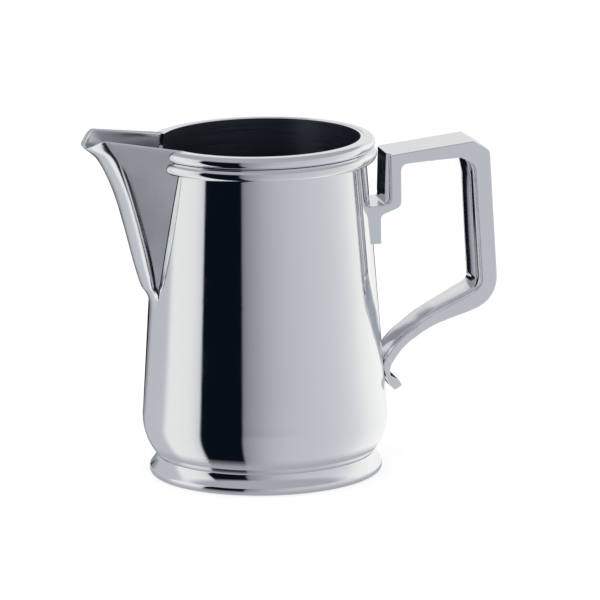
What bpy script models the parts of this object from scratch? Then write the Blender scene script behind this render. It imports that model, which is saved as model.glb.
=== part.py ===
"""Silver cream jug: a plain tapered body on a foot ring, with a soldered pouring spout,
two half-round rim wires and a cast handle.

The jug stands on Z = 0 with the spout towards -X and the handle towards +X.
Every profile is given in the jug's own axis frame: radius from the body's axis, then height.
"""
import math

import bpy
import bmesh
from mathutils import Vector

# Driving dimensions, in metres
SEGMENTS = 64                  # flats around a full turn
GAP = 0.0003                   # clearance between soldered pieces

SPOUT_REACH = 0.0511           # body axis to the tip of the spout
HANDLE_REACH = 0.0659          # body axis to the grip's lower outer corner, before it is rounded
BODY_AXIS_X = (SPOUT_REACH - HANDLE_REACH) / 2

WALL = 0.0010                  # sheet thickness of body, base and spout
WALL_TOP = 0.0943              # upper edge of the body wall
TAPER_HEIGHT = 0.0880          # height at which the body has its top radius
TAPER_RADIUS = 0.02935
TAPER = 0.0694                 # growth of the radius for each unit further down
HIP_HEIGHT = 0.0160            # where the straight taper turns in towards the foot
HIP_RADIUS = 0.0160            # radius of that turn
FLANGE_HEIGHT = 0.0058         # underside of the body's turned-in edge
FLANGE_BORE = 0.0265           # radius of the opening that the base disc closes
HIP_STEPS = 5                  # flats in the turn
BASE_CENTRE = 0.0020           # radius of the base disc's middle facet

FOOT_TOP_OUTER = 0.0308
FOOT_WIDEST = 0.0326
FOOT_WIDEST_HEIGHT = 0.0017
FOOT_INNER = 0.0286

RIM_TOP = 0.0947
UPPER_WIRE_OUTER = 0.0319
LOWER_WIRE_OUTER = 0.0323
LOWER_WIRE_BOTTOM = 0.0880
WIRE_DIVISION = 0.0915         # height where the two wires meet

SPOUT_FOOT = 0.0484            # lowest point of the spout on the wall
SPOUT_LIP = 0.0979             # height of the two lip corners
SPOUT_TIP = 0.0945             # height of the pouring tip
SPOUT_SHOULDER = 0.0515        # height where the spout's rounded foot becomes its sides
SEAM_FOOT_ANGLE = math.radians(12.2)
SEAM_TOP_ANGLE = math.radians(30.8)
OPENING_MARGIN = math.radians(3.6)   # the wall's opening is this much narrower than the seam

HANDLE_HALF_WIDTH = 0.00785
PANEL_INSET = 0.0021           # side face to the edge of the handle's raised panel
PANEL_EASE = 0.0009            # run of the slope beside the raised panel
CORNER_STEPS = 4               # flats in each rounded corner of the handle

SILVER = (0.78, 0.80, 0.82)
SATIN = (0.30, 0.31, 0.33)


def clear_scene():
    for item in list(bpy.data.objects):
        bpy.data.objects.remove(item, do_unlink=True)


def metal(name, colour, roughness):
    material = bpy.data.materials.new(name)
    material.use_nodes = True
    shader = material.node_tree.nodes["Principled BSDF"]
    shader.inputs["Base Color"].default_value = (*colour, 1.0)
    shader.inputs["Metallic"].default_value = 1.0
    shader.inputs["Roughness"].default_value = roughness
    return material


def finish_piece(name, mesh_data, parent, colour=SILVER, roughness=0.08):
    """Turn a bmesh into a named object with its own material, shaded smooth."""
    bmesh.ops.recalc_face_normals(mesh_data, faces=mesh_data.faces)
    mesh = bpy.data.meshes.new(name)
    mesh_data.to_mesh(mesh)
    mesh_data.free()
    mesh.shade_smooth()
    mesh.set_sharp_from_angle(angle=math.radians(30))
    mesh.materials.append(metal(name + "_metal", colour, roughness))
    piece = bpy.data.objects.new(name, mesh)
    piece.parent = parent
    bpy.context.collection.objects.link(piece)
    return piece


def bridge(mesh_data, ring, next_ring):
    """Quads between two closed rings with the same number of points."""
    count = len(ring)
    for i in range(count):
        j = (i + 1) % count
        mesh_data.faces.new((ring[i], ring[j], next_ring[j], next_ring[i]))


def polar(radius, angle, z):
    """A point at an angle measured from the spout's direction."""
    return (-radius * math.cos(angle), radius * math.sin(angle), z)


def turned(profile):
    """Turn a closed (radius, height) outline about Z."""
    mesh_data = bmesh.new()
    rings = []
    for i in range(SEGMENTS):
        angle = 2 * math.pi * i / SEGMENTS
        rings.append([mesh_data.verts.new(polar(r, angle, z)) for r, z in profile])
    for ring, next_ring in zip(rings, rings[1:] + rings[:1]):
        bridge(mesh_data, ring, next_ring)
    return mesh_data


def arc(centre, radius, start, end, steps):
    """Points on an arc, with angles in degrees."""
    points = []
    for i in range(steps + 1):
        angle = math.radians(start + (end - start) * i / steps)
        points.append((centre[0] + radius * math.cos(angle), centre[1] + radius * math.sin(angle)))
    return points


def subtract(piece, cutter):
    cutter.hide_render = True
    cutter.display_type = 'WIRE'
    cut = piece.modifiers.new("cut_" + cutter.name, 'BOOLEAN')
    cut.operation = 'DIFFERENCE'
    cut.solver = 'EXACT'
    cut.object = cutter


def wall_radius(z):
    """Outside radius of the body's straight taper."""
    return TAPER_RADIUS + TAPER * (TAPER_HEIGHT - z)


# Body and base

def hip_arc(offset, steps):
    """The turn from the taper down to the foot, inwards of the outside by an offset."""
    centre = (wall_radius(HIP_HEIGHT) - HIP_RADIUS, HIP_HEIGHT)
    radius = HIP_RADIUS - offset
    drop = HIP_HEIGHT - FLANGE_HEIGHT - offset
    end = -math.degrees(math.asin(drop / radius))
    return arc(centre, radius, 0, end, steps)


def body_outline():
    outside = [(wall_radius(WALL_TOP), WALL_TOP), (wall_radius(SPOUT_FOOT), SPOUT_FOOT)]
    outside += hip_arc(0, HIP_STEPS)
    flange = [(FLANGE_BORE, FLANGE_HEIGHT), (FLANGE_BORE, FLANGE_HEIGHT + WALL)]
    inside = list(reversed(hip_arc(WALL, HIP_STEPS)))
    inside += [(wall_radius(SPOUT_FOOT) - WALL, SPOUT_FOOT), (wall_radius(WALL_TOP) - WALL, WALL_TOP)]
    return outside + flange + inside


def seam_angle(z):
    """Half-angle, about the body's axis, of the spout's soldered seam."""
    rise = (z - SPOUT_SHOULDER) / (RIM_TOP - SPOUT_SHOULDER)
    rise = min(max(rise, 0.0), 1.0)
    return SEAM_FOOT_ANGLE + (SEAM_TOP_ANGLE - SEAM_FOOT_ANGLE) * rise


def opening_cutter(parent):
    """A tapering wedge that cuts the wall away behind the spout."""
    mesh_data = bmesh.new()
    within, beyond = 0.020, 0.045
    foot = SPOUT_SHOULDER + 2 * WALL
    top = WALL_TOP + 0.002
    steps = 10
    heights = [foot + (top - foot) * i / steps for i in range(steps + 1)]
    rings = []
    for z in heights:
        angle = seam_angle(z) - OPENING_MARGIN
        ring = []
        for radius, side in ((within, 1), (beyond, 1), (beyond, -1), (within, -1)):
            ring.append(mesh_data.verts.new(polar(radius, side * angle, z)))
        rings.append(ring)
    for ring, next_ring in zip(rings, rings[1:]):
        bridge(mesh_data, ring, next_ring)
    mesh_data.faces.new(rings[0])
    mesh_data.faces.new(rings[-1])
    return finish_piece("spout_opening_cutter", mesh_data, parent)


def make_body(parent):
    body = finish_piece("body_shell", turned(body_outline()), parent)
    subtract(body, opening_cutter(parent))
    return body


def make_base(parent):
    """The bottom disc, let in from above onto the body's turned-in edge."""
    bottom = FLANGE_HEIGHT + WALL + GAP
    top = bottom + WALL
    inner_hip = hip_arc(WALL, HIP_STEPS)
    bottom_radius = inner_hip[-1][0] - GAP
    step = 0.5 * WALL
    outline = [
        (BASE_CENTRE, top), (bottom_radius - step, top), (bottom_radius, bottom + step),
        (bottom_radius - step, bottom), (BASE_CENTRE, bottom),
    ]
    mesh_data = turned(outline)
    close_centre(mesh_data)
    return finish_piece("base_disc", mesh_data, parent, SATIN, 0.3)


def close_centre(mesh_data):
    """Replace the tube of faces around the axis with a cap above and below."""
    near = [f for f in mesh_data.faces if all(v.co.xy.length < 1.05 * BASE_CENTRE for v in f.verts)]
    bmesh.ops.delete(mesh_data, geom=near, context='FACES_ONLY')
    edges = [e for e in mesh_data.edges if e.is_boundary]
    bmesh.ops.contextual_create(mesh_data, geom=edges)


# Foot ring and rim wires

def make_foot(parent):
    top = FLANGE_HEIGHT - GAP
    edge = 0.0010
    bevel = 0.0004
    outline = [(FOOT_INNER, top), (FOOT_INNER, bevel), (FOOT_INNER + bevel, 0.0)]
    outline += [(FOOT_WIDEST - edge, 0.0)]
    outline += arc((FOOT_WIDEST - edge, FOOT_WIDEST_HEIGHT), edge, -60, 30, 3)
    outline += [(FOOT_TOP_OUTER + 0.0004, top - 0.0015), (FOOT_TOP_OUTER, top)]
    return finish_piece("foot_ring", turned(outline), parent)


def bent_wire(name, profile, parent):
    """Bend a wire of the given section round the wall, from one side of the spout to the other."""
    mesh_data = bmesh.new()
    steps = SEGMENTS * 5 // 6      # the spout takes the rest of the turn
    rings = []
    for i in range(steps + 1):
        ring = []
        for radius, z in profile:
            start = side_angle(radius, z)
            angle = start + (2 * math.pi - 2 * start) * i / steps
            ring.append(mesh_data.verts.new(polar(radius, angle, z)))
        rings.append(ring)
    for ring, next_ring in zip(rings, rings[1:]):
        bridge(mesh_data, ring, next_ring)
    mesh_data.faces.new(rings[0])
    mesh_data.faces.new(rings[-1])
    return finish_piece(name, mesh_data, parent)


def make_upper_wire(parent):
    """The lip roll round the outside of the wall's upper edge."""
    bottom = WIRE_DIVISION + GAP / 2
    half = (RIM_TOP - bottom) / 2
    inner = wall_radius(bottom) + GAP
    outline = [(inner, bottom)]
    outline += arc((UPPER_WIRE_OUTER - half, bottom + half), half, -75, 90, 5)
    outline += [(inner, RIM_TOP)]
    return bent_wire("rim_wire_upper", outline, parent)


def make_lower_wire(parent):
    """The half-round bead soldered round the wall just under the lip roll."""
    top = WIRE_DIVISION - GAP / 2
    half = (top - LOWER_WIRE_BOTTOM) / 2
    inner = wall_radius(LOWER_WIRE_BOTTOM) + GAP
    outline = [(inner, LOWER_WIRE_BOTTOM)]
    outline += arc((LOWER_WIRE_OUTER - half, LOWER_WIRE_BOTTOM + half), half, -90, 90, 6)
    outline += [(inner, top)]
    return bent_wire("rim_wire_lower", outline, parent)


# Spout

def along(stops, z):
    """Straight-line value at height z through a list of (height, value) stops."""
    for (z0, a), (z1, b) in zip(stops, stops[1:]):
        if z <= z1 or (z1, b) == stops[-1]:
            return a + (b - a) * (z - z0) / (z1 - z0)


# Reach of the spout's front, reach of its crease and half-width of its crease, each by height
KEEL = [
    (0.0484, 0.0321), (0.0512, 0.0332), (0.0548, 0.0346), (0.0606, 0.0363), (0.0710, 0.0388),
    (0.0802, 0.0413), (0.0878, 0.0444), (0.0916, 0.0467), (0.0938, 0.0492), (0.0948, SPOUT_REACH),
    (SPOUT_LIP, SPOUT_REACH),
]
CREASE_REACH = [
    (0.0500, 0.0318), (0.0592, 0.0331), (0.0775, 0.0374), (0.0914, 0.0418), (SPOUT_LIP, 0.0457),
]
CREASE_HALF_WIDTH = [
    (0.0500, 0.0063), (0.0592, 0.0079), (0.0750, 0.0095), (0.0914, 0.0105), (SPOUT_LIP, 0.0104),
]
# Half-width of the front just past the crease, as a share of the crease's own
CREASE_LIFT = [(0.0500, 1.00), (0.0600, 1.06), (0.0840, 1.06), (0.0925, 0.945)]
FRONT_RUN = 0.45               # how far forward the front keeps that width
FRONT_SHARE = 0.50             # share of the width that is left where the front turns across
LIP_HOLLOW = 1.8               # how sharply the lip dips from its corners to the tip
FOOT_BLEND = 0.08              # share of the height over which the spout leaves the wall
# Shares of the sheet's thickness by which the inside steps in at each place
SEAM_STEP = 1.35
CREASE_STEP_IN = 0.5
CREASE_STEP_ACROSS = 0.9
KEEL_STEP = 1.1
FOOT_STEP = 2.0


def spout_ring(z):
    """Radius at which the spout's edge lies on the wall."""
    return wall_radius(min(z, WALL_TOP)) + GAP


def seam_point(z, inset):
    """Reach and half-width of the spout's edge at a height."""
    radius = spout_ring(z)
    angle = seam_angle(z) - SEAM_STEP * inset / radius
    return Vector((radius * math.cos(angle), radius * math.sin(angle)))


def crease_point(z, inset):
    """Reach and half-width of the line between the spout's flat side and its rounded front."""
    reach = along(CREASE_REACH, z) - CREASE_STEP_IN * inset
    half_width = along(CREASE_HALF_WIDTH, z) - CREASE_STEP_ACROSS * inset
    return Vector((reach, half_width))


def side_angle(radius, z):
    """Angle at which a wire of this radius stops, one gap short of the spout's flat side."""
    start = seam_point(z, 0.0)
    run = (crease_point(z, 0.0) - start).normalized()
    normal = Vector((-run.y, run.x))
    offset = normal.dot(start) + GAP
    return math.atan2(normal.y, normal.x) - math.acos(offset / radius)


def front_curve(crease, keel, turn, lift=1.0):
    """The rounded front, a cubic from the crease at turn 0 to the keel at turn 1."""
    first = Vector((crease.x + FRONT_RUN * (keel - crease.x), crease.y * lift))
    second = Vector((keel, crease.y * FRONT_SHARE))
    end = Vector((keel, 0.0))
    left = 1 - turn
    near = crease * left ** 3 + first * (3 * left * left * turn)
    far = second * (3 * left * turn * turn) + end * turn ** 3
    return near + far


def spout_point(across, up, inset):
    """A point on the spout; across runs 0 at the seam, 0.5 at the crease and 1 at the keel."""
    turn = max(across - 0.5, 0.0) / 0.5
    start = SPOUT_FOOT + (SPOUT_SHOULDER - SPOUT_FOOT) * (1 - across) ** 2 + FOOT_STEP * inset
    if across < 0.5:
        end = RIM_TOP + (SPOUT_LIP - RIM_TOP) * across / 0.5
    else:
        width = front_curve(Vector((0.0, 1.0)), 1.0, turn).y
        end = SPOUT_TIP + (SPOUT_LIP - SPOUT_TIP) * width ** LIP_HOLLOW
    z = start + (end - start) * up
    ring = spout_ring(z)
    crease = crease_point(z, inset)
    if across <= 0.5:
        flat = seam_point(z, inset).lerp(crease, across / 0.5)
    else:
        flat = front_curve(crease, along(KEEL, z) - KEEL_STEP * inset, turn, along(CREASE_LIFT, z))
    settle = min(up / FOOT_BLEND, 1.0)
    foot_angle = SEAM_FOOT_ANGLE * math.cos(across * math.pi / 2)
    wall_point = Vector((ring * math.cos(foot_angle), ring * math.sin(foot_angle)))
    flat = wall_point.lerp(flat, settle)
    if flat.length < ring:
        flat = flat.normalized() * ring
    return Vector((-flat.x, flat.y, z))


def make_spout(parent):
    half_steps = 10
    rows = 18
    mesh_data = bmesh.new()
    grids = []
    for inset in (0.0, WALL):
        grid = []
        for row in range(rows + 1):
            up = row / rows
            line = []
            for i in range(2 * half_steps + 1):
                across = 1 - abs(1 - i / half_steps)
                side = 1 if i <= half_steps else -1
                x, y, z = spout_point(across, up, inset)
                line.append(mesh_data.verts.new((x, side * y, z)))
            grid.append(line)
        grids.append(grid)
    outer, inner = grids
    columns = 2 * half_steps + 1
    for grid in grids:
        for row in range(rows):
            for i in range(columns - 1):
                mesh_data.faces.new((grid[row][i], grid[row][i + 1], grid[row + 1][i + 1], grid[row + 1][i]))
    for row in (0, rows):
        for i in range(columns - 1):
            mesh_data.faces.new((outer[row][i], outer[row][i + 1], inner[row][i + 1], inner[row][i]))
    for i in (0, columns - 1):
        for row in range(rows):
            mesh_data.faces.new((outer[row][i], outer[row + 1][i], inner[row + 1][i], inner[row][i]))
    return finish_piece("spout", mesh_data, parent)


# Handle

class Corner:
    """One corner of the handle's ribbon, on its outer and on its inner side."""

    def __init__(self, outer, inner, half_width=HANDLE_HALF_WIDTH, outer_rise=(0, 0), inner_rise=(0, 0)):
        self.outer = outer              # reach, height, corner radius
        self.inner = inner
        self.half_width = half_width
        self.outer_rise = outer_rise    # raised panel before and after the corner
        self.inner_rise = inner_rise


HANDLE = [
    Corner((0.0290, 0.0640, 0), (0.0324, 0.0640, 0)),
    Corner((0.0290, 0.0747, 0.0004), (0.0324, 0.0720, 0.0018)),
    Corner((0.0353, 0.0749, 0.0022), (0.0383, 0.0742, 0.0024), outer_rise=(0, 0.0013)),
    Corner((0.0353, 0.0889, 0.0010), (0.0383, 0.0862, 0.0024), outer_rise=(0.0013, 0)),
    Corner((0.0592, 0.0916, 0.0005), (0.0530, 0.0870, 0.0005)),
    Corner((0.0638, 0.0887, 0.0014), (0.0593, 0.0873, 0.0048), inner_rise=(0, 0.0026)),
    Corner((HANDLE_REACH, 0.0460, 0.0105), (0.0613, 0.0498, 0.0050), 0.0077, inner_rise=(0.0022, 0.0010)),
    Corner((0.0455, 0.0388, 0.0280), (0.0459, 0.0421, 0.0350), 0.0068, inner_rise=(0.0009, 0.0008)),
    Corner((0.0376, 0.0330, 0.0200), (0.0362, 0.0350, 0.0200), 0.0066, inner_rise=(0.0007, 0.0005)),
    Corner((0.0348, 0.0280, 0.0055), (0.0326, 0.0290, 0.0040), 0.0064, inner_rise=(0.0003, 0)),
    Corner((0.0348, 0.0257, 0.0006), (0.0341, 0.0237, 0.0010), 0.0064),
    Corner((0.0367, 0.0246, 0.0003), (0.0360, 0.0213, 0.0008), 0.0064),
    Corner((0.0375, 0.0240, 0), (0.0381, 0.0226, 0), 0.0064),
]


def rounded(before, corner, after):
    """Points round one corner of a side contour."""
    here = Vector(corner[:2])
    towards_before = (Vector(before[:2]) - here).normalized()
    towards_after = (Vector(after[:2]) - here).normalized()
    half = towards_before.angle(towards_after) / 2
    run = corner[2] / math.tan(half)
    start = here + towards_before * run
    end = here + towards_after * run
    points = []
    for i in range(CORNER_STEPS + 1):
        t = i / CORNER_STEPS
        points.append(start * (1 - t) ** 2 + here * (2 * t * (1 - t)) + end * t ** 2)
    return points


def handle_stations():
    """Outer point, inner point, half width, outer rise and inner rise along the ribbon."""
    stations = []
    for i, corner in enumerate(HANDLE):
        if i in (0, len(HANDLE) - 1):
            stations.append((
                Vector(corner.outer[:2]), Vector(corner.inner[:2]), corner.half_width, 0.0, 0.0))
            continue
        before, after = HANDLE[i - 1], HANDLE[i + 1]
        outer = rounded(before.outer, corner.outer, after.outer)
        inner = rounded(before.inner, corner.inner, after.inner)
        for step in range(CORNER_STEPS + 1):
            t = step / CORNER_STEPS
            outer_rise = corner.outer_rise[0] * (1 - t) + corner.outer_rise[1] * t
            inner_rise = corner.inner_rise[0] * (1 - t) + corner.inner_rise[1] * t
            stations.append((outer[step], inner[step], corner.half_width, outer_rise, inner_rise))
    return stations


def make_handle(parent):
    mesh_data = bmesh.new()
    rings = []
    for outer, inner, half_width, outer_rise, inner_rise in handle_stations():
        through = (inner - outer).normalized()
        panel = half_width - PANEL_INSET
        slope = panel + PANEL_EASE
        section = [
            (outer, -half_width), (outer, -slope), (outer - through * outer_rise, -panel),
            (outer - through * outer_rise, panel), (outer, slope), (outer, half_width),
            (inner, half_width), (inner, slope), (inner + through * inner_rise, panel),
            (inner + through * inner_rise, -panel), (inner, -slope), (inner, -half_width),
        ]
        rings.append([mesh_data.verts.new((point.x, y, point.y)) for point, y in section])
    for ring, next_ring in zip(rings, rings[1:]):
        bridge(mesh_data, ring, next_ring)
    mesh_data.faces.new(rings[0])
    mesh_data.faces.new(rings[-1])
    handle = finish_piece("handle", mesh_data, parent)
    subtract(handle, wall_cutter(parent))
    return handle


def wall_cutter(parent):
    """The body's outside, one gap larger, which shapes the handle's two seats."""
    top = RIM_TOP
    bottom = HIP_HEIGHT + 0.0005
    inner = 0.010
    outline = [
        (wall_radius(top) + GAP, top), (wall_radius(bottom) + GAP, bottom), (inner, bottom), (inner, top),
    ]
    return finish_piece("handle_seat_cutter", turned(outline), parent)


def build():
    clear_scene()
    axis = bpy.data.objects.new("jug_axis", None)
    axis.location = (BODY_AXIS_X, 0.0, 0.0)
    bpy.context.collection.objects.link(axis)
    make_body(axis)
    make_base(axis)
    make_foot(axis)
    make_lower_wire(axis)
    make_upper_wire(axis)
    make_spout(axis)
    make_handle(axis)


build()
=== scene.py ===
"""Finished surfaces, studio and camera for the silver cream jug.

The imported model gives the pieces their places. Each piece is made again here as a fine mesh
with rounded edges, in the jug's own axis frame: reach or radius from the body's axis, then height.
"""
import math

import bpy
import bmesh
from mathutils import Matrix, Vector


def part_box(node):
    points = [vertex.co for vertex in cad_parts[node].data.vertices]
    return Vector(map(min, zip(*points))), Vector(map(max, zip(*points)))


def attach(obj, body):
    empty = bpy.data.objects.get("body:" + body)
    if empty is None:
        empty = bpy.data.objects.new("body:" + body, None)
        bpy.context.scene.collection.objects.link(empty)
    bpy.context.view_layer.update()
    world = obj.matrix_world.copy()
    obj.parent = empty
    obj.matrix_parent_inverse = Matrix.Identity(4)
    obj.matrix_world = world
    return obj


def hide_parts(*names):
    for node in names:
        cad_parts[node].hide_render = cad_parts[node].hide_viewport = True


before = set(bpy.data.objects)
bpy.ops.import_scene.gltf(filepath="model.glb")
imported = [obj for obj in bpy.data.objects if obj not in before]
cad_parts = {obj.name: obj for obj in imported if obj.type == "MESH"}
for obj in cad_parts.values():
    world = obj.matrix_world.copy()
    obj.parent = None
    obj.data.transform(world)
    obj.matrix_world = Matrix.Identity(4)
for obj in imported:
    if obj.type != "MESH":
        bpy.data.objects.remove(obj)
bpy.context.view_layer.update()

# Places taken from the frame
FOOT_LOW, FOOT_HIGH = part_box("foot_ring")
_, RIM_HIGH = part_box("rim_wire_upper")
SPOUT_LOW, SPOUT_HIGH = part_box("spout")
AXIS_X = (FOOT_LOW.x + FOOT_HIGH.x) / 2
FOOT_WIDEST = (FOOT_HIGH.y - FOOT_LOW.y) / 2
FOOT_TOP = FOOT_HIGH.z
RIM_TOP = RIM_HIGH.z
SPOUT_LIP = SPOUT_HIGH.z
SPOUT_REACH = AXIS_X - SPOUT_LOW.x

# Sheet body, in metres
WALL = 0.0010
WALL_TOP = RIM_TOP - 0.0001
TAPER_HEIGHT = 0.0880
TAPER_RADIUS = 0.02935
TAPER = 0.0694
HIP_HEIGHT = 0.0160
HIP_RADIUS = 0.0160
FLANGE_HEIGHT = 0.0058
FLANGE_BORE = 0.0265

# Rim
WIRE_DIVISION = 0.0915
UPPER_WIRE_OUTER = 0.0319
LOWER_WIRE_OUTER = 0.0323
LOWER_WIRE_BOTTOM = 0.0880

# Spout
SPOUT_FOOT = 0.0484
SPOUT_SHOULDER = 0.0515
SPOUT_TIP = 0.0945
SEAM_FOOT_ANGLE = math.radians(12.2)
SEAM_TOP_ANGLE = math.radians(30.8)
OPENING_MARGIN = math.radians(3.6)

# Handle
HANDLE_HALF_WIDTH = 0.00785
GRIP_CORNER = 0.0659
PANEL_INSET = 0.0021
EDGE = 0.00035
POST_CROWN = 0.08
GRIP_CROWN = 0.38

TURN_STEPS = 256


def wall_radius(z):
    """Outside radius of the body's straight taper."""
    return TAPER_RADIUS + TAPER * (TAPER_HEIGHT - z)


def arc(centre, radius, start, end, steps):
    """Points on an arc, with angles in degrees."""
    points = []
    for i in range(steps + 1):
        angle = math.radians(start + (end - start) * i / steps)
        points.append((centre[0] + radius * math.cos(angle), centre[1] + radius * math.sin(angle)))
    return points


def spread(start, end, steps):
    """Evenly spaced numbers from start to end."""
    return [start + (end - start) * i / steps for i in range(steps + 1)]


def smooth(stops, x):
    """Cubic through (x, value) stops that doesn't overshoot them."""
    if x <= stops[0][0]:
        return stops[0][1]
    if x >= stops[-1][0]:
        return stops[-1][1]
    slopes = [(b[1] - a[1]) / (b[0] - a[0]) for a, b in zip(stops, stops[1:])]
    tangents = [slopes[0]]
    for left, right in zip(slopes, slopes[1:]):
        tangents.append(2 * left * right / (left + right) if left * right > 0 else 0.0)
    tangents.append(slopes[-1])
    for i, (a, b) in enumerate(zip(stops, stops[1:])):
        if x <= b[0]:
            width = b[0] - a[0]
            t = (x - a[0]) / width
            return (
                a[1] * (1 + 2 * t) * (1 - t) ** 2 + b[1] * t * t * (3 - 2 * t)
                + width * tangents[i] * t * (1 - t) ** 2 - width * tangents[i + 1] * t * t * (1 - t)
            )


# Materials

def new_material(name, colour, roughness):
    material = bpy.data.materials.new(name)
    material.use_nodes = True
    shader = material.node_tree.nodes["Principled BSDF"]
    shader.inputs["Base Color"].default_value = (*colour, 1.0)
    shader.inputs["Metallic"].default_value = 1.0
    shader.inputs["Roughness"].default_value = roughness
    return material, material.node_tree, shader


def noise(tree, scale, stretch=(1, 1, 1), detail=3.0):
    """Noise over the object's own coordinates, in metres, optionally stretched along an axis."""
    nodes, links = tree.nodes, tree.links
    place = nodes.new("ShaderNodeTexCoord")
    mapping = nodes.new("ShaderNodeMapping")
    mapping.inputs["Scale"].default_value = stretch
    texture = nodes.new("ShaderNodeTexNoise")
    texture.inputs["Scale"].default_value = scale
    texture.inputs["Detail"].default_value = detail
    links.new(place.outputs["Object"], mapping.inputs["Vector"])
    links.new(mapping.outputs["Vector"], texture.inputs["Vector"])
    return texture.outputs["Fac"]


def ranged(tree, value, low, high):
    """Map a 0 to 1 pattern onto a range."""
    node = tree.nodes.new("ShaderNodeMapRange")
    node.inputs["From Min"].default_value = 0.3
    node.inputs["From Max"].default_value = 0.7
    node.inputs["To Min"].default_value = low
    node.inputs["To Max"].default_value = high
    tree.links.new(value, node.inputs["Value"])
    return node.outputs["Result"]


def bumped(tree, shader, height, strength, distance):
    node = tree.nodes.new("ShaderNodeBump")
    node.inputs["Strength"].default_value = strength
    node.inputs["Distance"].default_value = distance
    tree.links.new(height, node.inputs["Height"])
    tree.links.new(node.outputs["Normal"], shader.inputs["Normal"])


def polished_silver(name, colour, roughness=0.05, ripple=0.00002):
    """Buffed silver: a faint long ripple from buffing and a roughness that drifts a little."""
    material, tree, shader = new_material(name, colour, roughness)
    drift = ranged(tree, noise(tree, 90.0), roughness * 0.7, roughness * 1.5)
    tree.links.new(drift, shader.inputs["Roughness"])
    bumped(tree, shader, noise(tree, 260.0, detail=1.0), 0.25, ripple)
    return material


def spun_satin_painted_shade(name, colour, roughness=0.32):
    """Satin inside finish, with fine lines running round the bowl; the dark base colour the caller gives it
    is painted shade of the inside, not the metal's own.
    """
    material, tree, shader = new_material(name, colour, roughness)
    lines = noise(tree, 300.0, stretch=(0.15, 0.15, 14.0), detail=4.0)
    tree.links.new(ranged(tree, lines, roughness * 0.8, roughness * 1.25), shader.inputs["Roughness"])
    bumped(tree, shader, lines, 0.35, 0.00002)
    return material


# Mesh helpers

def new_piece(name, mesh_data, materials, node):
    """Finish a bmesh as a piece that rides on the jug and stands for one CAD node."""
    bmesh.ops.remove_doubles(mesh_data, verts=mesh_data.verts, dist=0.000001)
    bmesh.ops.recalc_face_normals(mesh_data, faces=mesh_data.faces)
    mesh = bpy.data.meshes.new(name)
    mesh_data.to_mesh(mesh)
    mesh_data.free()
    mesh.transform(Matrix.Translation((AXIS_X, 0.0, 0.0)))
    mesh.shade_smooth()
    mesh.set_sharp_from_angle(angle=math.radians(38))
    for material in materials:
        mesh.materials.append(material)
    piece = bpy.data.objects.new(name, mesh)
    bpy.context.scene.collection.objects.link(piece)
    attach(piece, "root")
    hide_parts(node)
    return piece


def add_points(mesh_data, points):
    return [mesh_data.verts.new(point) for point in points]


def skin(mesh_data, rows, closed=False, material=0):
    """Quads between neighbouring rows of points; closed joins each row's end to its start."""
    for row, next_row in zip(rows, rows[1:]):
        count = len(row)
        for i in range(count if closed else count - 1):
            j = (i + 1) % count
            face = mesh_data.faces.new((row[i], row[j], next_row[j], next_row[i]))
            face.material_index = material


def polar(radius, angle, z):
    """A point at an angle measured from the spout's direction."""
    return Vector((-radius * math.cos(angle), radius * math.sin(angle), z))


def turned(outline, steps=TURN_STEPS):
    """Turn a closed (radius, height) outline all the way round."""
    mesh_data = bmesh.new()
    rows = []
    for i in range(steps):
        angle = 2 * math.pi * i / steps
        rows.append(add_points(mesh_data, [polar(r, angle, z) for r, z in outline]))
    rows.append(rows[0])
    skin(mesh_data, rows, closed=True)
    return mesh_data


# Body

def seam_angle(z):
    """Half-angle, about the body's axis, of the spout's soldered seam."""
    rise = (z - SPOUT_SHOULDER) / (RIM_TOP - SPOUT_SHOULDER)
    rise = min(max(rise, 0.0), 1.0)
    return SEAM_FOOT_ANGLE + (SEAM_TOP_ANGLE - SEAM_FOOT_ANGLE) * rise


OPENING_FOOT = SPOUT_SHOULDER + 2 * WALL
OPENING_ROUND = 0.005


def opening_angle(z):
    """Half-angle of the wall's opening behind the spout, with a round foot."""
    if z <= OPENING_FOOT:
        return 0.0
    full = seam_angle(z) - OPENING_MARGIN
    start = min((z - OPENING_FOOT) / OPENING_ROUND, 1.0)
    return full * math.sqrt(1 - (1 - start) ** 2)


def hip_arc(offset, steps):
    """The turn from the taper down to the foot, inwards of the outside by an offset."""
    centre = (wall_radius(HIP_HEIGHT) - HIP_RADIUS, HIP_HEIGHT)
    radius = HIP_RADIUS - offset
    drop = HIP_HEIGHT - FLANGE_HEIGHT - offset
    end = -math.degrees(math.asin(drop / radius))
    start = math.degrees(math.atan(TAPER))
    return arc(centre, radius, start, end, steps)


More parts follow.
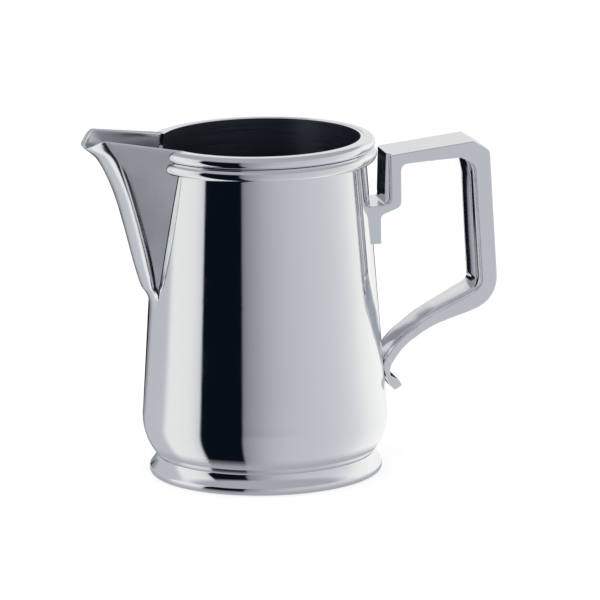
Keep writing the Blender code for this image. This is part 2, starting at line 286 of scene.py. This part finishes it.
def make_body(outside_metal, inside_metal_painted_shade):
    heights = spread(WALL_TOP, OPENING_FOOT + OPENING_ROUND, 28)
    heights += [OPENING_FOOT + OPENING_ROUND * (1 - i / 10) ** 2 for i in range(1, 11)]
    heights += spread(OPENING_FOOT, HIP_HEIGHT + 0.002, 14)[1:]
    outside = [(wall_radius(z), z) for z in heights] + hip_arc(0, 20)
    flange = [(FLANGE_BORE, FLANGE_HEIGHT), (FLANGE_BORE, FLANGE_HEIGHT + WALL)]
    inside = [(wall_radius(z) - WALL, z) for z in heights] + hip_arc(WALL, 20)
    mesh_data = bmesh.new()

    def ring(radius, z):
        opening = opening_angle(z)
        angles = spread(opening, 2 * math.pi - opening, TURN_STEPS)
        return add_points(mesh_data, [polar(radius, angle, z) for angle in angles])

    outer_rows = [ring(*point) for point in outside]
    flange_rows = [ring(*point) for point in flange]
    inner_rows = [ring(*point) for point in inside]
    skin(mesh_data, outer_rows + flange_rows)
    # The inside, slot 1, takes the darkened satin: painted shade of the bowl.
    skin(mesh_data, [flange_rows[-1]] + inner_rows[::-1], material=1)
    crown = ring(wall_radius(WALL_TOP) - WALL * 0.7, WALL_TOP + 0.0001)
    skin(mesh_data, [inner_rows[0], crown, outer_rows[0]])
    open_rows = sum(1 for z in heights if z > OPENING_FOOT) + 1
    for end in (0, -1):
        outer_edge = [row[end] for row in outer_rows[:open_rows]]
        inner_edge = [row[end] for row in inner_rows[:open_rows]]
        skin(mesh_data, [outer_edge, inner_edge])
    new_piece("jug_body", mesh_data, [outside_metal, inside_metal_painted_shade], "body_shell")


def make_base(metal):
    bottom = FLANGE_HEIGHT + WALL + 0.0001
    top = bottom + WALL
    radius = hip_arc(WALL, 5)[-1][0] - 0.0002
    mesh_data = bmesh.new()
    outline = [(0.0, top), (radius * 0.5, top), (radius - 0.0003, top), (radius, top - 0.0003)]
    outline += [(radius, bottom + 0.0003), (radius - 0.0003, bottom), (radius * 0.5, bottom), (0.0, bottom)]
    rows = []
    for i in range(TURN_STEPS + 1):
        angle = 2 * math.pi * i / TURN_STEPS
        rows.append(add_points(mesh_data, [polar(r, angle, z) for r, z in outline]))
    skin(mesh_data, rows)
    new_piece("jug_base", mesh_data, [metal], "base_disc")


def make_foot(metal):
    inner = 0.0286
    shoulder = 0.0306
    edge = 0.0009
    widest_height = 0.0016
    outline = [(inner, FOOT_TOP), (inner, 0.0004)]
    outline += arc((inner + 0.0004, 0.0004), 0.0004, 200, 270, 4)
    outline += arc((FOOT_WIDEST - edge, edge), edge, -90, -5, 8)
    outline += arc((FOOT_WIDEST - edge, widest_height), edge, 5, 40, 6)
    low = Vector(outline[-1])
    top = Vector((shoulder, FOOT_TOP - 0.0002))
    middle = Vector((shoulder + 0.0001, FOOT_TOP - 0.0013))
    for t in spread(0, 1, 14)[1:]:
        outline.append(tuple(low * (1 - t) ** 2 + middle * (2 * t * (1 - t)) + top * t * t))
    outline += [(shoulder - 0.0001, FOOT_TOP)]
    new_piece("jug_foot", turned(outline), [metal], "foot_ring")


# Spout shape

KEEL = [
    (0.0484, 0.0321), (0.0512, 0.0332), (0.0548, 0.0346), (0.0606, 0.0363), (0.0710, 0.0388),
    (0.0802, 0.0413), (0.0878, 0.0444), (0.0916, 0.0467), (0.0938, 0.0492), (0.0948, SPOUT_REACH),
    (SPOUT_LIP, SPOUT_REACH),
]
CREASE_REACH = [
    (0.0500, 0.0318), (0.0592, 0.0331), (0.0775, 0.0374), (0.0914, 0.0418), (SPOUT_LIP, 0.0457),
]
CREASE_HALF_WIDTH = [
    (0.0500, 0.0063), (0.0592, 0.0079), (0.0750, 0.0095), (0.0914, 0.0105), (SPOUT_LIP, 0.0104),
]
# Half-width of the front just past the crease, as a share of the crease's own
CREASE_LIFT = [(0.0500, 1.00), (0.0600, 1.06), (0.0840, 1.06), (0.0925, 0.945)]
FRONT_RUN = 0.45               # how far forward the front keeps that width
FRONT_SHARE = 0.50             # share of the width that is left where the front turns across
LIP_HOLLOW = 1.8
# How far the inner surface steps back at each place, as shares of the sheet's thickness
SEAM_STEP = 1.35
CREASE_STEP_IN = 0.5
CREASE_STEP_ACROSS = 0.9
KEEL_STEP = 1.1
FOOT_STEP = 2.0


def seam_point(z, inset):
    """Reach and half-width of the spout's edge on the wall at a height."""
    radius = wall_radius(z)
    angle = seam_angle(z) - SEAM_STEP * inset / radius
    return Vector((radius * math.cos(angle), radius * math.sin(angle)))


def crease_point(z, inset):
    """Reach and half-width of the line between the spout's flat side and its rounded front."""
    reach = smooth(CREASE_REACH, z) - CREASE_STEP_IN * inset
    half_width = smooth(CREASE_HALF_WIDTH, z) - CREASE_STEP_ACROSS * inset
    return Vector((reach, half_width))


def side_angle(radius, z):
    """Angle at which something of this radius meets the spout's flat side."""
    start = seam_point(z, 0.0)
    run = (crease_point(z, 0.0) - start).normalized()
    normal = Vector((-run.y, run.x))
    return math.atan2(normal.y, normal.x) - math.acos(normal.dot(start) / radius)


def front_curve(crease, keel, turn, lift=1.0):
    """The rounded front, a cubic from the crease at turn 0 to the keel at turn 1."""
    first = Vector((crease.x + FRONT_RUN * (keel - crease.x), crease.y * lift))
    second = Vector((keel, crease.y * FRONT_SHARE))
    end = Vector((keel, 0.0))
    left = 1 - turn
    near = crease * left ** 3 + first * (3 * left * left * turn)
    far = second * (3 * left * turn * turn) + end * turn ** 3
    return near + far


def spout_point(across, up, inset):
    """A point on the spout; across runs 0 at the seam, 0.5 at the crease and 1 at the keel."""
    turn = max(across - 0.5, 0.0) / 0.5
    start = SPOUT_FOOT + (SPOUT_SHOULDER - SPOUT_FOOT) * (1 - across) ** 2 + FOOT_STEP * inset
    if across < 0.5:
        end = RIM_TOP + (SPOUT_LIP - RIM_TOP) * across / 0.5
    else:
        width = front_curve(Vector((0.0, 1.0)), 1.0, turn).y
        end = SPOUT_TIP + (SPOUT_LIP - SPOUT_TIP) * width ** LIP_HOLLOW
    end -= WALL / 2
    z = start + (end - start) * up
    ring = wall_radius(z)
    crease = crease_point(z, inset)
    if across <= 0.5:
        flat = seam_point(z, inset).lerp(crease, across / 0.5)
    else:
        keel = smooth(KEEL, z) - KEEL_STEP * inset
        flat = front_curve(crease, keel, turn, smooth(CREASE_LIFT, z))
    settle = smooth([(0.0, 0.0), (0.12, 1.0)], up)
    foot_angle = SEAM_FOOT_ANGLE * math.cos(across * math.pi / 2)
    wall_point = Vector((ring * math.cos(foot_angle), ring * math.sin(foot_angle)))
    flat = wall_point.lerp(flat, settle)
    if flat.length < ring:
        flat = flat.normalized() * ring
    return Vector((-flat.x, flat.y, z))


# Rim wires

def make_wire(name, outline, metal, node):
    """A moulding bent round the rim, with its two ends rounded off beside the spout."""
    centre = Vector((
        sum(p[0] for p in outline) / len(outline),
        sum(p[1] for p in outline) / len(outline),
    ))
    round_off = 0.0009
    end_steps = 6
    steps = TURN_STEPS
    mesh_data = bmesh.new()
    stations = []
    for i in range(end_steps):
        t = i / end_steps
        stations.append((0.0, round_off * t, 0.7 + 0.3 * math.sqrt(1 - (1 - t) ** 2)))
    stations += [(t, round_off, 1.0) for t in spread(0, 0.5, steps // 2)]
    mirrored = [(1 - t, -run, scale) for t, run, scale in reversed(stations[:-1])]
    rows = []
    for t, run, scale in stations + mirrored:
        row = []
        for p in outline:
            point = centre + (Vector(p) - centre) * scale
            start = side_angle(p[0], p[1]) + 0.0001 / p[0]
            whole = 2 * math.pi - 2 * start - 2 * round_off / p[0]
            offset = run / p[0] if run >= 0 else 2 * round_off / p[0] + run / p[0]
            row.append(polar(point.x, start + offset + whole * t, point.y))
        rows.append(add_points(mesh_data, row))
    skin(mesh_data, rows, closed=True)
    mesh_data.faces.new(rows[0])
    mesh_data.faces.new(rows[-1])
    new_piece(name, mesh_data, [metal], node)


def make_rim(metal):
    half = (RIM_TOP - WIRE_DIVISION) / 2
    inner = wall_radius(WIRE_DIVISION) - 0.0002
    outline = [(inner, WIRE_DIVISION)]
    outline += arc((UPPER_WIRE_OUTER - half, WIRE_DIVISION + half), half, -90, 90, 22)
    outline += [(inner + 0.0006, RIM_TOP), (inner, RIM_TOP)]
    make_wire("rim_roll", outline, metal, "rim_wire_upper")
    half = (WIRE_DIVISION - LOWER_WIRE_BOTTOM) / 2
    inner = wall_radius(LOWER_WIRE_BOTTOM) - 0.0003
    outline = [(inner, LOWER_WIRE_BOTTOM)]
    outline += arc((LOWER_WIRE_OUTER - half, LOWER_WIRE_BOTTOM + half), half, -90, 90, 22)
    outline += [(inner, WIRE_DIVISION)]
    make_wire("rim_bead", outline, metal, "rim_wire_lower")


# Spout

# Depth of the fold along the crease, by height, and its widths on the side and on the front
FOLD_DEPTH = [(0.0530, 0.0), (0.0620, 0.00020), (0.0810, 0.00020), (0.0915, 0.0)]
FOLD_SIDE = 0.0009
FOLD_FRONT = 0.0004


def folded(point):
    """Sink a point of the spout's outside into the fold if it lies near the crease."""
    crease = crease_point(point.z, 0.0)
    away = math.hypot(-point.x - crease.x, point.y - crease.y)
    away /= FOLD_SIDE if -point.x < crease.x else FOLD_FRONT
    if away >= 1:
        return point
    depth = smooth(FOLD_DEPTH, point.z) * (1 + math.cos(math.pi * away)) / 2
    return point + Vector((0.25, -0.97, 0.0)) * depth


def make_spout(outside_metal, inside_metal_painted_shade):
    row_steps = 72
    mesh_data = bmesh.new()

    def line(up, inset):
        # Columns from the seam to the keel, with some of them kept to the fold beside the crease
        low = SPOUT_FOOT + (SPOUT_SHOULDER - SPOUT_FOOT) / 4
        z = low + (SPOUT_LIP - low) * up
        crease = crease_point(z, 0.0)
        side_share = min(FOLD_SIDE / (seam_point(z, 0.0) - crease).length, 0.7) / 2
        front_share = min(FOLD_FRONT / (crease - Vector((smooth(KEEL, z), 0.0))).length, 0.5) / 2
        columns = spread(0, 0.5 - side_share, 14) + spread(0.5 - side_share, 0.5, 10)[1:]
        columns += spread(0.5, 0.5 + front_share, 10)[1:] + spread(0.5 + front_share, 1, 16)[1:]
        points = [spout_point(across, up, inset) for across in columns]
        if inset == 0.0:
            points = [folded(point) for point in points]
        mirrored = [Vector((x, -y, z)) for x, y, z in points[-2::-1]]
        return points + mirrored

    outer = [line(up, 0.0) for up in spread(0, 1, row_steps)]
    inner = [line(up, WALL) for up in spread(0, 1, row_steps)]
    lip = []
    for step in range(1, 8):
        turn = math.pi * step / 8
        row = []
        for top, below, inside in zip(outer[-1], outer[-2], inner[-1]):
            middle, half = (top + inside) / 2, (top - inside) / 2
            upward = (top - below).normalized() * half.length
            row.append(middle + half * math.cos(turn) + upward * math.sin(turn))
        lip.append(row)
    outer_rows = [add_points(mesh_data, row) for row in outer]
    lip_rows = [add_points(mesh_data, row) for row in lip]
    inner_rows = [add_points(mesh_data, row) for row in inner]
    skin(mesh_data, outer_rows + lip_rows + [inner_rows[-1]])
    # The lining, slot 1, takes the darkened grey: painted shade inside the spout.
    skin(mesh_data, inner_rows, material=1)
    skin(mesh_data, [outer_rows[0], inner_rows[0]])
    for end in (0, -1):
        edge = [row[end] for row in outer_rows]
        inside_edge = [row[end] for row in inner_rows]
        skin(mesh_data, [edge, inside_edge])
        mesh_data.faces.new([edge[-1]] + [row[end] for row in lip_rows] + [inside_edge[-1]])
    new_piece("jug_spout", mesh_data, [outside_metal, inside_metal_painted_shade], "spout")


def make_shaded_seam(metal):
    """The hairline of solder down each side of the spout, made near-black as painted shade of the seam's
    groove.
    """
    radius = 0.00016
    for name, side in (("seam_shade_near", -1), ("seam_shade_far", 1)):
        mesh_data = bmesh.new()
        rows = []
        for z in spread(SPOUT_SHOULDER + 0.0005, LOWER_WIRE_BOTTOM, 40):
            reach, half_width = seam_point(z, 0.0)
            centre = (-reach, side * half_width)
            loop = [(x, y, z) for x, y in arc(centre, radius, 0, 315, 7)]
            rows.append(add_points(mesh_data, loop))
        skin(mesh_data, rows, closed=True)
        mesh_data.faces.new(rows[0])
        mesh_data.faces.new(rows[-1])
        new_piece(name, mesh_data, [metal], "spout")


# Handle

class Corner:
    """One corner of the handle's ribbon, on its outer and on its inner side."""

    def __init__(self, outer, inner, half_width=HANDLE_HALF_WIDTH, outer_rise=(0, 0), inner_rise=(0, 0)):
        self.outer = outer              # reach, height, corner radius
        self.inner = inner
        self.half_width = half_width
        self.outer_rise = outer_rise    # raised panel before and after the corner
        self.inner_rise = inner_rise


HANDLE = [
    Corner((0.0290, 0.0640, 0), (0.0324, 0.0640, 0)),
    Corner((0.0290, 0.0747, 0.0004), (0.0324, 0.0720, 0.0018)),
    Corner((0.0353, 0.0749, 0.0022), (0.0383, 0.0742, 0.0024), outer_rise=(0, 0.0013)),
    Corner((0.0353, 0.0889, 0.0010), (0.0383, 0.0862, 0.0024), outer_rise=(0.0013, 0)),
    Corner((0.0592, 0.0916, 0.0005), (0.0530, 0.0870, 0.0005)),
    Corner((0.0638, 0.0887, 0.0014), (0.0593, 0.0873, 0.0048), inner_rise=(0, 0.0026)),
    Corner((GRIP_CORNER, 0.0460, 0.0105), (0.0613, 0.0498, 0.0050), 0.0077, inner_rise=(0.0022, 0.0010)),
    Corner((0.0455, 0.0388, 0.0280), (0.0459, 0.0421, 0.0350), 0.0068, inner_rise=(0.0009, 0.0008)),
    Corner((0.0376, 0.0330, 0.0200), (0.0362, 0.0350, 0.0200), 0.0066, inner_rise=(0.0007, 0.0005)),
    Corner((0.0348, 0.0280, 0.0055), (0.0326, 0.0290, 0.0040), 0.0064, inner_rise=(0.0003, 0)),
    Corner((0.0348, 0.0257, 0.0006), (0.0341, 0.0237, 0.0010), 0.0064),
    Corner((0.0367, 0.0246, 0.0003), (0.0360, 0.0213, 0.0008), 0.0064),
    Corner((0.0375, 0.0240, 0), (0.0381, 0.0226, 0), 0.0064),
]
CORNER_STEPS = 14
RUN_STEPS = 6


def rounded(before, corner, after):
    """Points round one corner of a side contour."""
    here = Vector(corner[:2])
    towards_before = (Vector(before[:2]) - here).normalized()
    towards_after = (Vector(after[:2]) - here).normalized()
    half = towards_before.angle(towards_after) / 2
    run = corner[2] / math.tan(half)
    start = here + towards_before * run
    end = here + towards_after * run
    return [
        start * (1 - t) ** 2 + here * (2 * t * (1 - t)) + end * t ** 2
        for t in spread(0, 1, CORNER_STEPS)
    ]


def handle_stations():
    """Outer point, inner point, half width, outer rise and inner rise along the ribbon."""
    stations = []
    for i, corner in enumerate(HANDLE):
        if i in (0, len(HANDLE) - 1):
            stop = [(Vector(corner.outer[:2]), Vector(corner.inner[:2]), corner.half_width, 0.0, 0.0)]
        else:
            before, after = HANDLE[i - 1], HANDLE[i + 1]
            outer = rounded(before.outer, corner.outer, after.outer)
            inner = rounded(before.inner, corner.inner, after.inner)
            stop = []
            for step, t in enumerate(spread(0, 1, CORNER_STEPS)):
                ease = t * t * (3 - 2 * t)
                outer_rise = corner.outer_rise[0] * (1 - ease) + corner.outer_rise[1] * ease
                inner_rise = corner.inner_rise[0] * (1 - ease) + corner.inner_rise[1] * ease
                stop.append((outer[step], inner[step], corner.half_width, outer_rise, inner_rise))
        if stations:
            previous, following = stations[-1], stop[0]
            for t in spread(0, 1, RUN_STEPS)[1:-1]:
                ease = t * t * (3 - 2 * t)
                stations.append((
                    previous[0].lerp(following[0], t), previous[1].lerp(following[1], t),
                    previous[2] * (1 - ease) + following[2] * ease,
                    previous[3] * (1 - t) + following[3] * t,
                    previous[4] * (1 - t) + following[4] * t,
                ))
        stations += stop
    return stations


def half_section(half_width, rise, crown):
    """(sideways, outwards) points of one face of the ribbon, from its middle to its edge.

    The raised panel is crowned: it falls to its own edge by that share of its rise.
    """
    panel = half_width - PANEL_INSET
    turn_width = 0.0004
    turn_height = min(rise * 0.5, turn_width)
    edge = rise * (1 - crown)
    points = [(panel * t, rise * (1 - crown * t * t)) for t in spread(0, 0.92, 9)]
    for angle in spread(90, 20, 5):
        turn = math.radians(angle)
        sideways = panel - turn_width + turn_width * math.cos(turn)
        points.append((sideways, edge - turn_height + turn_height * math.sin(turn)))
    cove_start = Vector((panel + 0.0001, max(edge - 0.0005, 0.0)))
    cove_end = Vector((half_width - EDGE, 0.0))
    elbow = Vector((panel + 0.0003, 0.0))
    for t in spread(0, 1, 8)[1:]:
        point = cove_start * (1 - t) ** 2 + elbow * (2 * t * (1 - t)) + cove_end * t ** 2
        points.append((point.x, point.y))
    for angle in spread(90, 0, 4)[1:]:
        turn = math.radians(angle)
        points.append((half_width - EDGE + EDGE * math.cos(turn), EDGE * math.sin(turn) - EDGE))
    points.append((half_width, -1.5 * EDGE))
    return points


def make_handle(metal):
    mesh_data = bmesh.new()
    rows = []
    for outer, inner, half_width, outer_rise, inner_rise in handle_stations():
        through = (inner - outer).normalized()
        outer_shape = half_section(half_width, outer_rise, POST_CROWN)
        inner_shape = half_section(half_width, inner_rise, GRIP_CROWN)
        outer_face = [(outer - through * out, side) for side, out in outer_shape]
        inner_face = [(inner + through * out, side) for side, out in inner_shape]
        half = outer_face + inner_face[::-1]
        section = half + [(point, -side) for point, side in half[::-1][1:-1]]
        points = []
        for point, side in section:
            seat = math.sqrt(wall_radius(point.y) ** 2 - side ** 2) - 0.00005
            points.append((max(point.x, seat), side, point.y))
        rows.append(add_points(mesh_data, points))
    skin(mesh_data, rows, closed=True)
    mesh_data.faces.new(rows[0])
    mesh_data.faces.new(rows[-1])
    new_piece("jug_handle", mesh_data, [metal], "handle")


# Studio

CAMERA_AZIMUTH = math.radians(-12)
CAMERA_ELEVATION = math.radians(12.63)
CAMERA_DISTANCE = 1.71
CAMERA_LENS = 367.0
CAMERA_ROLL = math.radians(-0.9)
AIM_RIGHT = 0.0103
AIM_HEIGHT = 0.0481


def make_camera():
    back = Vector((
        math.sin(CAMERA_AZIMUTH) * math.cos(CAMERA_ELEVATION),
        -math.cos(CAMERA_AZIMUTH) * math.cos(CAMERA_ELEVATION),
        math.sin(CAMERA_ELEVATION),
    ))
    right = Vector((math.cos(CAMERA_AZIMUTH), math.sin(CAMERA_AZIMUTH), 0.0))
    target = Vector((AXIS_X, 0.0, AIM_HEIGHT)) + right * AIM_RIGHT
    data = bpy.data.cameras.new("camera")
    data.lens = CAMERA_LENS
    data.sensor_width = 36.0
    data.clip_end = 20.0
    camera = bpy.data.objects.new("camera", data)
    camera.location = target + back * CAMERA_DISTANCE
    turn = (-back).to_track_quat('-Z', 'Y').to_matrix().to_4x4()
    camera.rotation_euler = (turn @ Matrix.Rotation(CAMERA_ROLL, 4, 'Z')).to_euler()
    bpy.context.scene.collection.objects.link(camera)
    bpy.context.scene.camera = camera


def stage_object(name, mesh, material):
    mesh.materials.append(material)
    item = bpy.data.objects.new(name, mesh)
    bpy.context.scene.collection.objects.link(item)
    return item


def make_floor():
    """A plain white sweep, which only the camera and the soft light see."""
    size = 6.0
    height = -0.0002
    mesh = bpy.data.meshes.new("floor")
    corners = [(-size, -size), (size, -size), (size, size), (-size, size)]
    mesh.from_pydata([(x, y, height) for x, y in corners], [], [(0, 1, 2, 3)])
    material = bpy.data.materials.new("floor_paint")
    material.use_nodes = True
    shader = material.node_tree.nodes["Principled BSDF"]
    shader.inputs["Base Color"].default_value = (0.30, 0.30, 0.30, 1.0)
    shader.inputs["Emission Color"].default_value = (1.0, 1.0, 1.0, 1.0)
    shader.inputs["Emission Strength"].default_value = 0.74
    shader.inputs["Roughness"].default_value = 0.8
    shader.inputs["Specular IOR Level"].default_value = 0.0
    floor = stage_object("floor", mesh, material)
    floor.visible_glossy = False


TENT_RADIUS = 0.30
TENT_HEIGHT = 0.60
# Brightness of the light tent's wall, by direction from the camera's side, clockwise from above
TENT_WALL = [
    (-180, 0.75), (-170, 0.70), (-162, 0.30), (-148, 0.28), (-138, 0.52), (-108, 0.55), (-96, 0.85),
    (-75, 0.83), (-64, 0.72), (-61, 0.62), (-58, 0.01), (-21, 0.01), (-18, 0.22), (-8, 0.335), (10, 0.465),
    (30, 0.545), (50, 0.590), (70, 0.635), (90, 0.74), (110, 0.89), (135, 0.97), (160, 0.88), (180, 0.75),
]
TENT_CEILING = 0.42
TABLE_GREY = 0.42
BACK_WINDOW = 0.80
FRONT_CARD = 0.04
# Low boards behind the jug: share of black by direction
LOW_BOARDS = [
    (-178, 0.0), (-176, 1.0), (-154, 1.0), (-150, 0.0), (160, 0.0), (163, 1.0), (172, 1.0), (175, 0.0),
]
HIP_REACH = 0.031              # reach of the hip's turn, which the bend over the table allows for
WALL_BEND = 2 * TENT_RADIUS / (2 * TENT_RADIUS - HIP_REACH)
BLACK = Vector((0.0025, 0.0050, 0.0100))
SHADE_TINT = Vector((0.966, 1.0, 1.072))
LIGHT_TINT = Vector((1.0, 1.0, 0.985))


def tent_glow(azimuth, height):
    """Brightness at a direction in degrees and a height above the floor."""
    wall = smooth(TENT_WALL, azimuth)
    low = smooth([(0.030, 1.0), (0.050, 0.0)], height)
    wall *= 1 - low * smooth(LOW_BOARDS, azimuth)
    behind = smooth([(-175, 1.0), (-168, 0.0), (135, 0.0), (150, 1.0)], azimuth)
    wall += (BACK_WINDOW - wall) * behind * smooth([(0.105, 0.0), (0.135, 1.0)], height)
    fade = smooth([(0.0, 1.0), (0.20, 1.0), (0.30, 0.0), (1.0, 0.0)], height)
    return TENT_CEILING + (wall - TENT_CEILING) * fade


def glow_colour(value):
    """Cool in the greys and neutral in the whites, with a blue-black where there is no light."""
    warm = smooth([(0.50, 0.0), (0.85, 1.0)], value)
    return BLACK + SHADE_TINT.lerp(LIGHT_TINT, warm) * max(value - 0.01, 0.0)


def make_tent():
    """A light tent round the jug: graded walls, a black flag, a grey table and a grey ceiling.

    Only reflections see it, as with a tent that stands outside the camera's view.
    """
    mesh_data = bmesh.new()
    glow = mesh_data.verts.layers.float_color.new("glow")
    steps = 720

    def ring(radius, z, level):
        row = []
        for i in range(steps):
            azimuth = -180 + 360 * i / steps
            angle = CAMERA_AZIMUTH + math.radians(azimuth)
            vert = mesh_data.verts.new((AXIS_X + radius * math.sin(angle), -radius * math.cos(angle), z))
            vert[glow] = (*glow_colour(level(azimuth)), 1.0)
            row.append(vert)
        return row

    table = -0.0001
    rows = []
    for radius in [0.001] + spread(0.03, 0.12, 36) + spread(0.12, TENT_RADIUS, 12)[1:]:
        near = smooth([(0.034, 1.0), (0.039, 0.0)], radius)
        # A mirrored line that stays upright on the hip bends outwards over the table like this
        bend = 2 * radius / max(2 * radius - HIP_REACH, 0.02) / WALL_BEND - 1
        card = smooth([(0.14, FRONT_CARD), (0.29, 0.0)], radius)
        # Above 0.05 the low boards are gone, so this keeps them off the table close to the jug
        boards = smooth([(0.05, 0.06), (0.09, 0.0)], radius)

        def level(azimuth, near=near, bend=bend, card=card, boards=boards):
            seen = azimuth * (1 + bend * smooth([(60, 1.0), (175, 0.0)], abs(azimuth)))
            seen = max(min(seen, 180), -180)
            card_share = smooth([(-21, 0.0), (-18, 1.0), (10, 1.0), (45, 0.0)], seen)
            far = tent_glow(seen, boards) + card * card_share
            return TABLE_GREY * near + far * (1 - near)

        rows.append(ring(radius, table, level))
    for height in spread(0, TENT_HEIGHT, 40)[1:]:
        rows.append(ring(TENT_RADIUS, height, lambda a, h=height: tent_glow(a, h)))
    rows.append(ring(0.001, TENT_HEIGHT, lambda a: TENT_CEILING))
    skin(mesh_data, rows, closed=True)
    mesh = bpy.data.meshes.new("light_tent")
    mesh_data.to_mesh(mesh)
    mesh_data.free()
    material = bpy.data.materials.new("tent_glow")
    material.use_nodes = True
    nodes, links = material.node_tree.nodes, material.node_tree.links
    nodes.clear()
    colour = nodes.new("ShaderNodeVertexColor")
    colour.layer_name = "glow"
    emission = nodes.new("ShaderNodeEmission")
    output = nodes.new("ShaderNodeOutputMaterial")
    links.new(colour.outputs["Color"], emission.inputs["Color"])
    links.new(emission.outputs["Emission"], output.inputs["Surface"])
    tent = stage_object("light_tent", mesh, material)
    tent.visible_camera = False
    tent.visible_diffuse = False
    tent.visible_shadow = False
    tent.visible_transmission = False
    tent.visible_volume_scatter = False


def make_light():
    world = bpy.data.worlds.new("studio")
    bpy.context.scene.world = world
    world.use_nodes = True
    background = world.node_tree.nodes["Background"]
    background.inputs["Color"].default_value = (1.0, 1.0, 1.0, 1.0)
    background.inputs["Strength"].default_value = 1.0
    data = bpy.data.lights.new("overhead_softbox", 'AREA')
    data.shape = 'RECTANGLE'
    data.size = 1.2
    data.size_y = 1.0
    data.energy = 4.0
    lamp = bpy.data.objects.new("overhead_softbox", data)
    lamp.location = (-0.3, -0.3, 1.4)
    lamp.rotation_euler = (Vector((0, 0, 0)) - lamp.location).to_track_quat('-Z', 'Y').to_euler()
    lamp.visible_glossy = False
    bpy.context.scene.collection.objects.link(lamp)


def main():
    make_camera()
    make_light()
    make_floor()
    make_tent()
    silver = polished_silver("polished_silver", (0.90, 0.905, 0.915))
    cast_silver = polished_silver("polished_casting", (0.86, 0.87, 0.885), roughness=0.10)
    spout_silver = polished_silver("spout_casting", (0.94, 0.965, 0.975), roughness=0.21)
    # The bowl's dark blue-grey base colour, far below silver's, is painted shade for the inside of the bowl
    # and the base disc.
    bowl_painted_shade = spun_satin_painted_shade("spun_satin_painted_shade", (0.30, 0.335, 0.40))
    # Near-black, far darker than silver solder: painted shade along the seam's groove.
    seam_shade = polished_silver("seam_line_painted_shade", (0.10, 0.11, 0.13), roughness=0.45)
    # The lining's grey, about half the spout's outside, is painted shade for the inside of the spout.
    shaded_spout_lining = polished_silver("spout_lining_painted_shade", (0.50, 0.52, 0.55), roughness=0.22)
    make_body(silver, bowl_painted_shade)
    make_base(bowl_painted_shade)
    make_foot(silver)
    make_rim(silver)
    make_spout(spout_silver, shaded_spout_lining)
    make_shaded_seam(seam_shade)
    make_handle(cast_silver)
    bpy.context.scene.view_settings.view_transform = 'Standard'


main()
